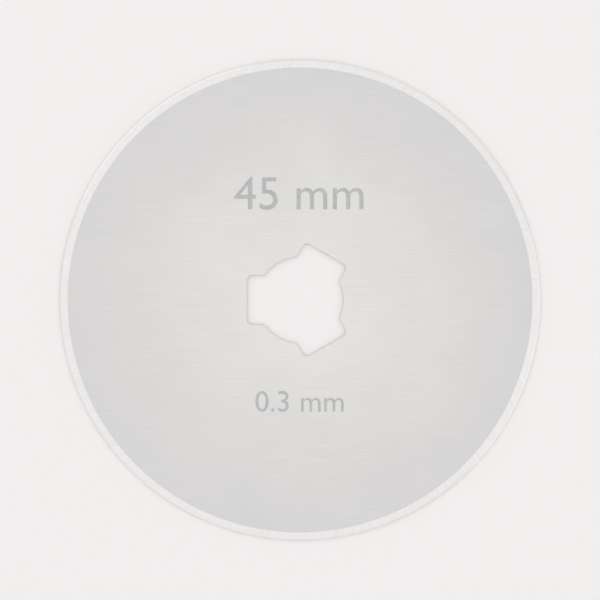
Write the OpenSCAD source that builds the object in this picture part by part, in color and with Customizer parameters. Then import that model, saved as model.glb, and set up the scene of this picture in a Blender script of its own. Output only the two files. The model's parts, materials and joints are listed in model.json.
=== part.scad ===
// Rotary cutter blade: a hardened steel disc, sharpened all round from both sides,
// with a lobed centre hole that drops over the round post of the cutter's handle.
// The disc lies flat with its lower face at z = 0, and its axis is the z axis.

/* [Disc] */
// Diameter over the cutting edge
disc_d = 45; // [28:0.5:60]
// Thickness of the steel strip that the disc is cut from
disc_t = 0.3; // [0.25:0.01:0.45]

/* [Cutting edge] */
// Width of the whole bevel on each side, from the flat face to the very edge
bevel_w = 0.75; // [0.6:0.05:2]
// Width of the honed band on each side, which is the last part of the bevel
hone_w = 0.12; // [0.05:0.01:0.2]
// How many degrees steeper the honed band is than a straight bevel would be
hone_extra = 8; // [2:0.5:12]

/* [Centre hole] */
// Diameter of the round walls that sit on the post
bore_d = 8.1; // [7:0.05:9]
// Number of lobes, evenly spaced round the hole
lobe_count = 3; // [2:1:4]
// How far the flat end of each lobe stands out beyond the round walls
lobe_depth = 0.9; // [0.6:0.05:2]
// Width of each lobe between its two straight sides
lobe_w = 4.6; // [3:0.1:5]
// Radius in the two outer corners of each lobe
lobe_corner_r = 0.5; // [0.1:0.05:0.8]
// Radius where a lobe's side runs into the round wall
lobe_root_r = 0.4; // [0.1:0.05:0.8]
// Direction of the first lobe, in degrees from the x axis
lobe_start = 180; // [0:5:360]

/* [Hidden] */
$fn = 128;

disc_r = disc_d / 2;
mid_z = disc_t / 2;

// The bevel starts here, and gives way to the honed band there.
flat_r = disc_r - bevel_w;
hone_r = disc_r - hone_w;
straight_angle = atan(mid_z / bevel_w);
hone_rise = hone_w * tan(straight_angle + hone_extra);

bore_r = bore_d / 2;
lobe_half = lobe_w / 2;
lobe_reach = bore_r + lobe_depth;

// The root's rounding circle stands in the steel, touching the round wall and the lobe's side.
root_y = lobe_half + lobe_root_r;
root_x = sqrt(pow(bore_r + lobe_root_r, 2) - pow(root_y, 2));
// It touches the round wall at this share of the way from the axis to its own centre.
root_touch = bore_r / (bore_r + lobe_root_r);

// The cutter for the hole reaches one thickness past each face.
cut_past = disc_t;

// Half section of the disc: flat faces, ground bevels, then the honed bands that meet at the edge.
module blade_section() {
    polygon([
        [0, 0],
        [flat_r, 0],
        [hone_r, mid_z - hone_rise],
        [disc_r, mid_z],
        [hone_r, mid_z + hone_rise],
        [flat_r, disc_t],
        [0, disc_t]
    ]);
}

// One lobe along +x, from the axis to its flat end, with rounded outer corners.
module lobe_body() {
    inner_x = lobe_reach - lobe_corner_r;
    inner_y = lobe_half - lobe_corner_r;
    translate([0, -lobe_half]) square([inner_x, lobe_w]);
    translate([0, -inner_y]) square([lobe_reach, 2 * inner_y]);
    for (side = [-1, 1])
        translate([inner_x, side * inner_y]) circle(r = lobe_corner_r);
}

// The rounding where the lobe's left side, seen from the axis, runs into the round wall.
module lobe_root() {
    difference() {
        polygon([
            [0, 0],
            [root_x * root_touch, root_y * root_touch],
            [root_x, root_y],
            [root_x, 0]
        ]);
        translate([root_x, root_y]) circle(r = lobe_root_r);
    }
}

module hole_outline() {
    circle(r = bore_r);
    for (i = [0 : lobe_count - 1])
        rotate(lobe_start + i * 360 / lobe_count) {
            lobe_body();
            lobe_root();
            mirror([0, 1]) lobe_root();
        }
}

module blade() {
    color("gainsboro")
    difference() {
        rotate_extrude() blade_section();
        translate([0, 0, -cut_past])
            linear_extrude(height = disc_t + 2 * cut_past) hole_outline();
    }
}

blade();
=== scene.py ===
"""A rotary cutter blade lying flat on a pale floor, seen from straight above.

The blade is modelled in millimetres, on the frame's own axes, and its mesh is made in metres.
"""

import json
import math

import bpy
import numpy as np
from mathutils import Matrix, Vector
from mathutils.geometry import delaunay_2d_cdt


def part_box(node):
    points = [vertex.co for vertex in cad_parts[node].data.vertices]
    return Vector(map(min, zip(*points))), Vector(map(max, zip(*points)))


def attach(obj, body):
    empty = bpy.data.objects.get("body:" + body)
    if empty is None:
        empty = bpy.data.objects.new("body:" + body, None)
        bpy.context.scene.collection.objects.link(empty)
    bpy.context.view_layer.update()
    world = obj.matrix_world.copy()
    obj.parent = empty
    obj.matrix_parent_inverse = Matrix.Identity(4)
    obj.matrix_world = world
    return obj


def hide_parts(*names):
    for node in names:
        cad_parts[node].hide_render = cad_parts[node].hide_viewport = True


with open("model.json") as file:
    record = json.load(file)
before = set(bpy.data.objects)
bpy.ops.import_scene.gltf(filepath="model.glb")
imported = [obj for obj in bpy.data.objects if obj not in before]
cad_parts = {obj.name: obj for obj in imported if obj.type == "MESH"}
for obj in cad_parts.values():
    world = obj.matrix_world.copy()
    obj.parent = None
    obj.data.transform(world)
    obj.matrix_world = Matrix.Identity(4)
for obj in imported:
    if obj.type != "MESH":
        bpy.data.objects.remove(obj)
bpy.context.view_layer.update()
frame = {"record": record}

MM = 0.001

# The disc and its bore, from the frame
blade_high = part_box("blade")[1]
DISC_R = blade_high.x / MM
THICKNESS = blade_high.z / MM
BORE_R = next(m for m in frame["record"]["mounts"] if m["name"] == "post_hole")["dims"]["r_mm"]

# The cutting edge
BEVEL_W = 0.75
HONE_W = 0.12
HONE_EXTRA = math.radians(8)
MID_Z = THICKNESS / 2
FLAT_R = DISC_R - BEVEL_W
HONE_R = DISC_R - HONE_W
HONE_RISE = HONE_W * math.tan(math.atan(MID_Z / BEVEL_W) + HONE_EXTRA)

# The centre hole's lobes
LOBE_COUNT = 3
LOBE_DEPTH = 0.9
LOBE_W = 4.6
LOBE_CORNER_R = 0.5
LOBE_ROOT_R = 0.4
LOBE_START = math.pi
LOBE_HALF = LOBE_W / 2
LOBE_REACH = BORE_R + LOBE_DEPTH

# The middle of a root's rounding circle, and the direction in which it touches the round wall
ROOT_Y = LOBE_HALF + LOBE_ROOT_R
ROOT_X = math.sqrt((BORE_R + LOBE_ROOT_R) ** 2 - ROOT_Y**2)
ROOT_ANGLE = math.atan2(ROOT_Y, ROOT_X)

# The faint rounding that tumbling leaves on the hole's edges
HOLE_EDGE_R = 0.03
HOLE_EDGE_STEPS = 4

# The etching: its depth, how far below the face its dark film lies, and how thick the film is
MARK_DEPTH = 0.012
FILM_BELOW = 0.004
FILM_T = 0.006

# The blade's own sizes, etched in plain letters: what each says, its letters' size, and its middle's y
MARKS = [(f"{2 * DISC_R:.3g} mm", 4.4, 9.8), (f"{THICKNESS:.3g} mm", 2.8, -9.6)]

# How finely the letters' curves are divided, and the shortest side that is kept
LETTER_STEPS = 8
SHORTEST_SIDE = 0.02

# How finely the rim and each part of the hole's outline are divided
RIM_SEGMENTS = 720
ROUND_WALL_STEPS = 28
ROOT_STEPS = 8
CORNER_STEPS = 10
SIDE_STEPS = 6

# The flat faces' inner points: rings, as distance in from the rim and number of points, then a grid,
# and how far they all stay from every outline
FACE_RINGS = [(0.3, 360), (0.9, 180), (1.9, 120)]
GRID_INWARD = 2.5
GRID_PITCH = 0.9
CLEAR_OF_EDGES = 0.22

# Faces that meet at more than this angle show a sharp edge between them
SHARP_ANGLE = math.radians(6)

# The numbers of the blade's own materials, and of the etched film's only one
FACE, BEVEL, HONE, WALL = range(4)
FILM = 0

# The range that most of a noise texture's values lie in
NOISE_LOW = 0.3
NOISE_HIGH = 0.7

# The finer layers of noise in the streaks and in the clouds: how many each has, and how strong the
# streaks' are
STREAK_DETAIL = 3.0
STREAK_ROUGHNESS = 0.6
CLOUD_DETAIL = 2.0

# The surround: the direction in which it is brightest, and its levels there, low down and at the
# floor, where 1 is white
BRIGHTEST = Vector((-0.04, 0.006, 1.0))
LEVEL_OVERHEAD = 1.042
LEVEL_LOW = 0.5
LEVEL_AT_FLOOR = 0.87

# The pale backdrop fades out at this height, as the sine of its angle above the floor
BACKDROP_TOP = 0.2


def arc(centre, radius, start, end, steps):
    """Points along an arc, both ends included."""
    angles = np.linspace(start, end, steps + 1)
    return np.c_[centre[0] + radius * np.cos(angles), centre[1] + radius * np.sin(angles)]


def turned(points, angle):
    """Points turned round the axis."""
    c, s = math.cos(angle), math.sin(angle)
    return points @ np.array([[c, s], [-s, c]])


def hole_outline(grow):
    """The hole's outline, anticlockwise, moved by grow into the steel.

    Its number of points never changes.
    """
    bore, root = BORE_R + grow, LOBE_ROOT_R - grow
    corner, half, reach = LOBE_CORNER_R + grow, LOBE_HALF + grow, LOBE_REACH + grow
    inner = (LOBE_REACH - LOBE_CORNER_R, LOBE_HALF - LOBE_CORNER_R)
    root_arc = arc((ROOT_X, ROOT_Y), root, -math.pi / 2, ROOT_ANGLE - math.pi, ROOT_STEPS)
    corner_arc = arc(inner, corner, 0, math.pi / 2, CORNER_STEPS)
    side = np.linspace((inner[0], half), (ROOT_X, half), SIDE_STEPS + 1)[1:-1]
    end = np.linspace((reach, 0), (reach, inner[1]), SIDE_STEPS + 1)[:-1]
    upper = np.r_[end, corner_arc, side, root_arc]
    lower = (upper * (1, -1))[::-1][:-1]
    between = 2 * math.pi / LOBE_COUNT
    wall = arc((0, 0), bore, ROOT_ANGLE, between - ROOT_ANGLE, ROUND_WALL_STEPS)[1:-1]
    one_turn = np.r_[lower, upper, wall]
    return np.concatenate([turned(one_turn, LOBE_START + i * between) for i in range(LOBE_COUNT)])


def rim_circle(radius, segments=RIM_SEGMENTS):
    """Points round a full circle, the last one not repeated."""
    return arc((0, 0), radius, 0, 2 * math.pi, segments)[:-1]


def letter_outlines(text, size):
    """The outlines of a line of text: its points, and the numbers of each one's two neighbours."""
    curve = bpy.data.curves.new("outline", "FONT")
    curve.body = text
    curve.align_x = "CENTER"
    curve.align_y = "CENTER"
    curve.size = size
    curve.resolution_u = LETTER_STEPS
    curve.fill_mode = "NONE"
    holder = bpy.data.objects.new("outline", curve)
    bpy.context.scene.collection.objects.link(holder)
    drawn = holder.evaluated_get(bpy.context.evaluated_depsgraph_get()).to_mesh()
    places = np.array([(v.co.x, v.co.y) for v in drawn.vertices])
    nearby = {v.index: [] for v in drawn.vertices}
    for edge in drawn.edges:
        a, b = edge.vertices
        nearby[a].append(b)
        nearby[b].append(a)
    bpy.data.objects.remove(holder)
    bpy.data.curves.remove(curve)
    return places, nearby


def text_loops(text, size, centre):
    """The closed outlines of a line of text, as arrays of points, without the tiniest sides."""
    places, nearby = letter_outlines(text, size)
    loops = []
    left = set(nearby)
    while left:
        at = min(left)
        numbers = []
        while at is not None:
            numbers.append(at)
            left.discard(at)
            at = next((n for n in nearby[at] if n in left), None)
        loop = places[numbers] + centre
        sides = np.roll(loop, -1, 0) - loop
        loops.append(loop[np.hypot(*sides.T) > SHORTEST_SIDE])
    return loops


def mark_loops():
    """The outlines of the sizes that are etched on the upper face."""
    return [loop for label, size, y in MARKS for loop in text_loops(label, size, (0, y))]


def inside(points, loops):
    """For each point, whether it lies in an odd number of the loops."""
    odd = np.zeros(len(points), bool)
    x, y = points[:, :1], points[:, 1:]
    for loop in loops:
        (ax, ay), (bx, by) = loop.T, np.roll(loop, -1, 0).T
        spans = (ay > y) != (by > y)
        rise = np.where(by == ay, 1, by - ay)
        left_of = x < ax + (y - ay) * (bx - ax) / rise
        odd ^= (spans & left_of).sum(1) % 2 == 1
    return odd


def triangular_grid(radius):
    """Points of a grid of equal triangles, out to that distance from the axis."""
    row_height = GRID_PITCH * math.sqrt(3) / 2
    reach = math.ceil(radius / row_height)
    column, row = np.mgrid[-reach : reach + 1, -reach : reach + 1].reshape(2, -1)
    grid = np.c_[GRID_PITCH * (column + row % 2 / 2), row_height * row]
    return grid[np.hypot(*grid.T) < radius]


def inner_points(rim, hole, loops):
    """Points spread over the flat face, so that its triangles are well shaped."""
    rings = [rim_circle(FLAT_R - painted_sheen, count) for painted_sheen, count in FACE_RINGS]
    spread = np.concatenate([*rings, triangular_grid(FLAT_R - GRID_INWARD)])
    edges = np.concatenate([rim, hole, *loops])
    gaps = np.hypot(*(spread[:, None] - edges[None]).transpose(2, 0, 1)).min(1)
    return spread[(gaps > CLEAR_OF_EDGES) & ~inside(spread, [hole])]


def flat_face(rim, hole, loops):
    """The flat face as points, triangles and whether each triangle is in a mark.

    The rim's points come first, and then the hole's.
    """
    points, edges = [], []
    for loop in [rim, hole, *loops]:
        first = len(points)
        points += [Vector(p) for p in loop]
        edges += [(first + i, first + (i + 1) % len(loop)) for i in range(len(loop))]
    points += [Vector(p) for p in inner_points(rim, hole, loops)]
    triangles_inside = 1
    same_place = 1e-6
    cut = delaunay_2d_cdt(points, edges, [], triangles_inside, same_place)
    made, _, triangles, from_points = cut[:4]
    order = sorted(range(len(made)), key=lambda i: min(from_points[i], default=len(points) + i))
    place = {old: new for new, old in enumerate(order)}
    places = np.array([made[i] for i in order])
    corners = np.array([[place[i] for i in t] for t in triangles])
    middles = places[corners].mean(1)
    solid = ~inside(middles, [hole])
    return places, corners[solid], inside(middles, loops)[solid]


class Shell:
    """Gathers vertices and faces in millimetres, then makes one mesh of them."""

    def __init__(self):
        self.vertices, self.faces, self.materials, self.grain = [], [], [], []

    def ring(self, points, z):
        """Adds points at one height and returns their numbers."""
        first = len(self.vertices)
        self.vertices += [(x, y, z) for x, y in points]
        return list(range(first, len(self.vertices)))

    def face(self, corners, material, grain):
        """Adds one face, with its corners' places on the grain's map."""
        self.faces.append(corners)
        self.materials.append(material)
        self.grain.append(grain)

    def strip(self, inner, outer, material):
        """Joins two closed rings of as many vertices by quads.

        The grain's map runs round the ring.
        """
        count = len(inner)
        for i in range(count):
            j = (i + 1) % count
            grain = [(i, 0), (i, 1), (i + 1, 1), (i + 1, 0)]
            self.face([inner[i], outer[i], outer[j], inner[j]], material, grain)

    def sheet(self, numbers, corners, material, up):
        """Adds a flat face's triangles. The grain's map runs across the sheet's x axis."""
        for corner in corners:
            wound = [numbers[i] for i in (corner if up else corner[::-1])]
            self.face(wound, material, [(self.vertices[i][1], self.vertices[i][0]) for i in wound])

    def object(self, name, materials):
        """Makes the object, with its mesh in metres."""
        mesh = bpy.data.meshes.new(name)
        mesh.from_pydata([Vector(v) * MM for v in self.vertices], [], self.faces)
        for material in materials:
            mesh.materials.append(material)
        mesh.polygons.foreach_set("material_index", self.materials)
        grain = mesh.uv_layers.new(name="grain")
        grain.data.foreach_set("uv", [x for face in self.grain for uv in face for x in uv])
        mesh.shade_smooth()
        mesh.set_sharp_from_angle(angle=SHARP_ANGLE)
        mesh.validate()
        made = bpy.data.objects.new(name, mesh)
        bpy.context.scene.collection.objects.link(made)
        return made


def marked_face(shell, rim, hole, rim_ring, hole_ring):
    """Adds the upper flat face, with the marks etched into it.

    Returns its points and the marks' triangles.
    """
    places, corners, marked = flat_face(rim, hole, mark_loops())
    known = [*rim_ring, *hole_ring]
    top = known + shell.ring(places[len(known) :], THICKNESS)
    shell.sheet(top, corners[~marked], FACE, up=True)
    in_marks = np.unique(corners[marked])
    floor = dict(zip(in_marks, shell.ring(places[in_marks], THICKNESS - MARK_DEPTH), strict=True))
    shell.sheet(floor, corners[marked], FACE, up=True)
    for a, b in open_edges(corners[marked]):
        shell.face([top[a], top[b], floor[b], floor[a]], FACE, [(0, 0), (1, 0), (1, 1), (0, 1)])
    return places, corners[marked]


def open_edges(corners):
    """The edges that only one triangle has, in the direction that it has them."""
    directed = {(a, b) for t in corners.tolist() for a, b in zip(t, t[1:] + t[:1], strict=True)}
    return sorted((a, b) for a, b in directed if (b, a) not in directed)


def make_blade(materials):
    """The ground disc. Returns it with the marks' points and triangles."""
    shell = Shell()
    rim = rim_circle(FLAT_R)
    edge_angles = np.linspace(0, math.pi / 2, HOLE_EDGE_STEPS + 1)
    rounding = [(HOLE_EDGE_R * (1 - math.sin(a)), HOLE_EDGE_R * (1 - math.cos(a))) for a in edge_angles]
    upper_rim = shell.ring(rim, THICKNESS)
    upper_hole = [shell.ring(hole_outline(grow), THICKNESS - drop) for grow, drop in rounding]
    lower_rim = shell.ring(rim, 0)
    lower_hole = [shell.ring(hole_outline(grow), drop) for grow, drop in rounding]

    upper_hone = shell.ring(rim_circle(HONE_R), MID_Z + HONE_RISE)
    edge = shell.ring(rim_circle(DISC_R), MID_Z)
    lower_hone = shell.ring(rim_circle(HONE_R), MID_Z - HONE_RISE)
    shell.strip(upper_rim, upper_hone, BEVEL)
    shell.strip(upper_hone, edge, HONE)
    shell.strip(edge, lower_hone, HONE)
    shell.strip(lower_hone, lower_rim, BEVEL)

    wall = [*lower_hole, *upper_hole[::-1]]
    for near, far in zip(wall, wall[1:], strict=False):
        shell.strip(near, far, WALL)

    hole = hole_outline(HOLE_EDGE_R)
    marks = marked_face(shell, rim, hole, upper_rim, upper_hole[0])
    places, corners, _ = flat_face(rim, hole, [])
    known = [*lower_rim, *lower_hole[0]]
    bottom = known + shell.ring(places[len(known) :], 0)
    shell.sheet(bottom, corners, FACE, up=False)
    return shell.object("ground_blade", materials), *marks


def make_marks(places, corners, material):
    """The dark film that lies in the etched marks, as a thin closed solid."""
    shell = Shell()
    used = np.unique(corners)
    top = dict(zip(used, shell.ring(places[used], THICKNESS - FILM_BELOW), strict=True))
    bottom = dict(zip(used, shell.ring(places[used], THICKNESS - FILM_BELOW - FILM_T), strict=True))
    shell.sheet(top, corners, FILM, up=True)
    shell.sheet(bottom, corners, FILM, up=False)
    for a, b in open_edges(corners):
        shell.face([top[b], top[a], bottom[a], bottom[b]], FILM, [(0, 0), (1, 0), (1, 1), (0, 1)])
    return shell.object("etched_marks", [material])


def add(tree, kind, inputs=None, **properties):
    """A new node. Each of its inputs is linked to a socket or set to a value."""
    made = tree.nodes.new(kind)
    for name, value in properties.items():
        setattr(made, name, value)
    for key, value in (inputs or {}).items():
        if isinstance(value, bpy.types.NodeSocket):
            tree.links.new(value, made.inputs[key])
        else:
            made.inputs[key].default_value = value
    return made


def math_node(tree, operation, a, b):
    """The outcome of an operation on two values."""
    return add(tree, "ShaderNodeMath", {0: a, 1: b}, operation=operation).outputs[0]


def vector_node(tree, operation, a, b=(0, 0, 0), **inputs):
    """The outcome of an operation on one or two vectors."""
    made = add(tree, "ShaderNodeVectorMath", {0: a, 1: b, **inputs}, operation=operation)
    return made.outputs["Value" if operation in ("LENGTH", "DOT_PRODUCT") else "Vector"]


def ranged(tree, value, low, high, to_low, to_high):
    """value, carried from one range to another and held inside it."""
    inputs = {"Value": value, "From Min": low, "From Max": high, "To Min": to_low, "To Max": to_high}
    return add(tree, "ShaderNodeMapRange", inputs).outputs["Result"]


def here(tree):
    """The place on the object, in metres."""
    return add(tree, "ShaderNodeTexCoord").outputs["Object"]


def from_axis(tree):
    """The distance from the blade's axis, in metres."""
    return vector_node(tree, "LENGTH", vector_node(tree, "MULTIPLY", here(tree), (1, 1, 0)))


def streaks(tree, length, width, angle=0.0, shift=0.0):
    """Noise in streaks of that length and width in millimetres, at an angle to the x axis.

    The shift, in metres, picks another stretch of the noise.
    """
    inputs = {
        "Vector": here(tree),
        "Location": (shift, shift, 0),
        "Rotation": (0, 0, math.radians(angle)),
        "Scale": (length * MM, width * MM, 1),
    }
    place = add(tree, "ShaderNodeMapping", inputs, vector_type="TEXTURE").outputs[0]
    inputs = {"Vector": place, "Scale": 1.0, "Detail": STREAK_DETAIL, "Roughness": STREAK_ROUGHNESS}
    return add(tree, "ShaderNodeTexNoise", inputs, noise_dimensions="2D").outputs["Fac"]


def spokes(tree, length, width, slant=0.0):
    """Noise in streaks of that length and width in millimetres, which run slanting out to the rim."""
    flat = vector_node(tree, "MULTIPLY", here(tree), (1, 1, 0))
    radius = from_axis(tree)
    lean = math_node(tree, "MULTIPLY", radius, math.tan(math.radians(slant)) / (DISC_R * MM))
    inputs = {"Vector": flat, "Angle": lean}
    swept = add(tree, "ShaderNodeVectorRotate", inputs, rotation_type="Z_AXIS").outputs[0]
    around = vector_node(tree, "SCALE", vector_node(tree, "NORMALIZE", swept), Scale=DISC_R / width)
    outward = math_node(tree, "DIVIDE", radius, length * MM)
    out = add(tree, "ShaderNodeCombineXYZ", {"Z": outward}).outputs[0]
    place = vector_node(tree, "ADD", around, out)
    inputs = {"Vector": place, "Scale": 1.0, "Detail": STREAK_DETAIL, "Roughness": STREAK_ROUGHNESS}
    return add(tree, "ShaderNodeTexNoise", inputs).outputs["Fac"]


def clouds(tree, size, shift=0.0):
    """Soft patches of that size in millimetres. The shift, in metres, picks other ones."""
    inputs = {"Vector": here(tree), "Location": (shift, shift, 0), "Scale": (size * MM,) * 3}
    place = add(tree, "ShaderNodeMapping", inputs, vector_type="TEXTURE").outputs[0]
    inputs = {"Vector": place, "Scale": 1.0, "Detail": CLOUD_DETAIL}
    return add(tree, "ShaderNodeTexNoise", inputs).outputs["Fac"]


def varied(tree, noise, low, high):
    """Noise, carried from its usual range to one from low to high."""
    return ranged(tree, noise, NOISE_LOW, NOISE_HIGH, low, high)


def steel(name, dark, pale, tone, rough, bumps, anisotropic=0.0):
    """A steel material.

    tone and rough are functions that add their nodes to the tree. bumps lists pairs of such a function
    and how high its bumps are, in millimetres.
    """
    material = bpy.data.materials.new(name)
    material.use_nodes = True
    tree = material.node_tree
    shader = tree.nodes["Principled BSDF"]
    shader.inputs["Metallic"].default_value = 1.0
    shader.inputs["Anisotropic"].default_value = anisotropic
    colours = add(tree, "ShaderNodeMix", {"Factor": tone(tree), "A": dark, "B": pale}, data_type="RGBA")
    tree.links.new(colours.outputs["Result"], shader.inputs["Base Color"])
    tree.links.new(rough(tree), shader.inputs["Roughness"])
    normal = None
    for height, depth in bumps:
        inputs = {"Height": height(tree), "Distance": depth * MM, "Strength": 1.0}
        if normal:
            inputs["Normal"] = normal
        normal = add(tree, "ShaderNodeBump", inputs).outputs["Normal"]
    if normal:
        tree.links.new(normal, shader.inputs["Normal"])
    if anisotropic:
        across = add(tree, "ShaderNodeTangent", direction_type="UV_MAP", uv_map="grain")
        tree.links.new(across.outputs[0], shader.inputs["Tangent"])
    return material


def grey(level, warmth=0.0):
    """A grey as a linear colour, slightly warm or, below nought, slightly cool."""
    return (level * (1 + warmth), level, level * (1 - warmth), 1)


def face_material():
    """Finely lapped strip steel: straight grain and soft patches, and a painted sheen that makes it
    paler and warmer near the hole.
    """

    def tone(tree):
        # Painted sheen: the colour grows paler and warmer from the rim in to the hole.
        painted_sheen = ranged(tree, from_axis(tree), FLAT_R * MM, BORE_R * MM, 0.1, 0.8)
        grain = varied(tree, streaks(tree, length=4, width=0.06), -0.2, 0.2)
        patches = varied(tree, clouds(tree, size=9), -0.1, 0.1)
        return math_node(tree, "ADD", painted_sheen, math_node(tree, "ADD", grain, patches))

    def rough(tree):
        patches = varied(tree, clouds(tree, size=6, shift=0.03), -0.03, 0.03)
        grain = varied(tree, streaks(tree, length=5, width=0.1, shift=0.01), 0.3, 0.38)
        return math_node(tree, "ADD", grain, patches)

    bumps = [
        (lambda tree: clouds(tree, size=14, shift=0.05), 0.01),
        (lambda tree: streaks(tree, length=4, width=0.07), 0.0004),
        (lambda tree: streaks(tree, length=2, width=0.04, angle=4, shift=0.02), 0.0002),
    ]
    # The rim's colour, and the hole's paler, warmer one, which the painted sheen runs towards.
    at_rim = (0.672, 0.66, 0.665, 1)
    at_hole = (0.79, 0.782, 0.746, 1)
    return steel("lapped_steel", at_rim, at_hole, tone, rough, bumps, anisotropic=0.4)


def bevel_material():
    """The ground bevel: brighter, with the wheel's fine marks running out to the edge."""

    def tone(tree):
        return varied(tree, spokes(tree, length=4, width=0.15, slant=25), 0, 1)

    def rough(tree):
        return varied(tree, spokes(tree, length=3, width=0.08, slant=25), 0.18, 0.26)

    bumps = [
        (lambda tree: spokes(tree, length=4, width=0.08, slant=25), 0.0006),
        (lambda tree: spokes(tree, length=3, width=0.03, slant=25), 0.0003),
    ]
    dark = grey(0.808, 0.015)
    pale = grey(0.873, 0.02)
    return steel("ground_steel", dark, pale, tone, rough, bumps, anisotropic=0.3)


def hone_material():
    """The honed band: almost polished, and paler than the bevel, partly from its polish and partly as a
    painted highlight along the cutting edge.
    """

    def tone(tree):
        return spokes(tree, length=1, width=0.2)

    def rough(tree):
        return varied(tree, spokes(tree, length=1, width=0.06), 0.1, 0.18)

    # These colours are partly a painted highlight, which fills the edge's dark line.
    return steel("honed_steel", grey(0.86, 0.015), grey(0.91, 0.015), tone, rough, bumps=[])


def wall_material():
    """The hole's cut wall: a little rougher, with upright tool marks."""

    def tone(tree):
        return spokes(tree, length=20, width=0.15)

    def rough(tree):
        return varied(tree, spokes(tree, length=20, width=0.2), 0.34, 0.48)

    bumps = [(lambda tree: spokes(tree, length=30, width=0.25), 0.002)]
    return steel("cut_steel", grey(0.6), grey(0.7), tone, rough, bumps)


def mark_material():
    """The dark matt film that etching leaves."""

    def tone(tree):
        return varied(tree, clouds(tree, size=0.4, shift=0.02), 0, 1)

    def rough(tree):
        return varied(tree, clouds(tree, size=0.12, shift=0.06), 0.5, 0.62)

    bumps = [(lambda tree: clouds(tree, size=0.05), 0.0006)]
    return steel("etched_steel", grey(0.52), grey(0.59), tone, rough, bumps)


def seen_rays(tree):
    """1 for rays that show a thing to the camera, directly or in metal or glass, and 0 for others."""
    paths = add(tree, "ShaderNodeLightPath").outputs
    mirrored = math_node(tree, "MAXIMUM", paths["Is Glossy Ray"], paths["Is Transmission Ray"])
    return math_node(tree, "MAXIMUM", paths["Is Camera Ray"], mirrored)


def floor_material():
    """A pale matt surface, seen a little paler than the light alone would make it."""
    material = bpy.data.materials.new("floor")
    material.use_nodes = True
    tree = material.node_tree
    shader = tree.nodes["Principled BSDF"]
    shader.inputs["Base Color"].default_value = (0.895, 0.878, 0.872, 1)
    shader.inputs["Roughness"].default_value = 0.9
    shader.inputs["Emission Color"].default_value = grey(1)
    seen_level = 0.08
    lift = math_node(tree, "MULTIPLY", seen_rays(tree), seen_level)
    tree.links.new(lift, shader.inputs["Emission Strength"])
    return material


def make_floor():
    """A wide pale floor, a hair below the blade's lower face. Its sizes are in metres."""
    half = 2.0
    drop = 0.00002
    corners = [(-half, -half, -drop), (half, -half, -drop), (half, half, -drop), (-half, half, -drop)]
    mesh = bpy.data.meshes.new("floor")
    mesh.from_pydata(corners, [], [(0, 1, 2, 3)])
    mesh.materials.append(floor_material())
    floor = bpy.data.objects.new("floor", mesh)
    bpy.context.scene.collection.objects.link(floor)


def make_world():
    """A studio's surround: brightest overhead, and as pale as the floor where the two meet."""
    world = bpy.data.worlds.new("studio")
    bpy.context.scene.world = world
    world.use_nodes = True
    tree = world.node_tree
    background = tree.nodes["Background"]
    background.inputs["Color"].default_value = grey(1)
    direction = add(tree, "ShaderNodeTexCoord").outputs["Generated"]
    height = vector_node(tree, "DOT_PRODUCT", direction, BRIGHTEST.normalized())
    overhead = ranged(tree, height, 0, 1, LEVEL_LOW, LEVEL_OVERHEAD)
    backdrop = ranged(tree, height, 0, BACKDROP_TOP, LEVEL_AT_FLOOR, LEVEL_LOW)
    shade = math_node(tree, "MAXIMUM", overhead, backdrop)
    tree.links.new(shade, background.inputs["Strength"])


def make_lamp(name, place, size, radiance):
    """A round soft lamp, aimed at the blade. radiance is how bright its face is, where 1 is white."""
    light = bpy.data.lights.new(name, "AREA")
    light.shape = "DISK"
    light.size = size
    light.energy = radiance * math.pi * math.pi * (size / 2) ** 2
    lamp = bpy.data.objects.new(name, light)
    lamp.location = place
    lamp.rotation_euler = (-Vector(place)).to_track_quat("-Z", "Y").to_euler()
    bpy.context.scene.collection.objects.link(lamp)


def make_camera():
    """Straight above the blade, with the photograph's up along +Y."""
    filled_share = 0.8
    camera = bpy.data.objects.new("camera", bpy.data.cameras.new("camera"))
    camera.data.lens = 100
    half_view = math.atan(camera.data.sensor_width / 2 / camera.data.lens)
    camera.location = (0, 0, DISC_R * MM / filled_share / math.tan(half_view))
    camera.data.clip_start = 0.001
    bpy.context.scene.collection.objects.link(camera)
    bpy.context.scene.camera = camera


blade, mark_places, mark_corners = make_blade(
    [face_material(), bevel_material(), hone_material(), wall_material()]
)
marks = make_marks(mark_places, mark_corners, mark_material())
for piece in (blade, marks):
    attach(piece, "root")
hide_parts("blade")

make_floor()
make_world()
make_lamp("key", place=(-0.35, 0.42, 0.29), size=0.6, radiance=0.16)
make_lamp("fill", place=(0.5, -0.13, 0.34), size=0.6, radiance=0.135)
make_camera()

bpy.context.scene.view_settings.view_transform = "Standard"
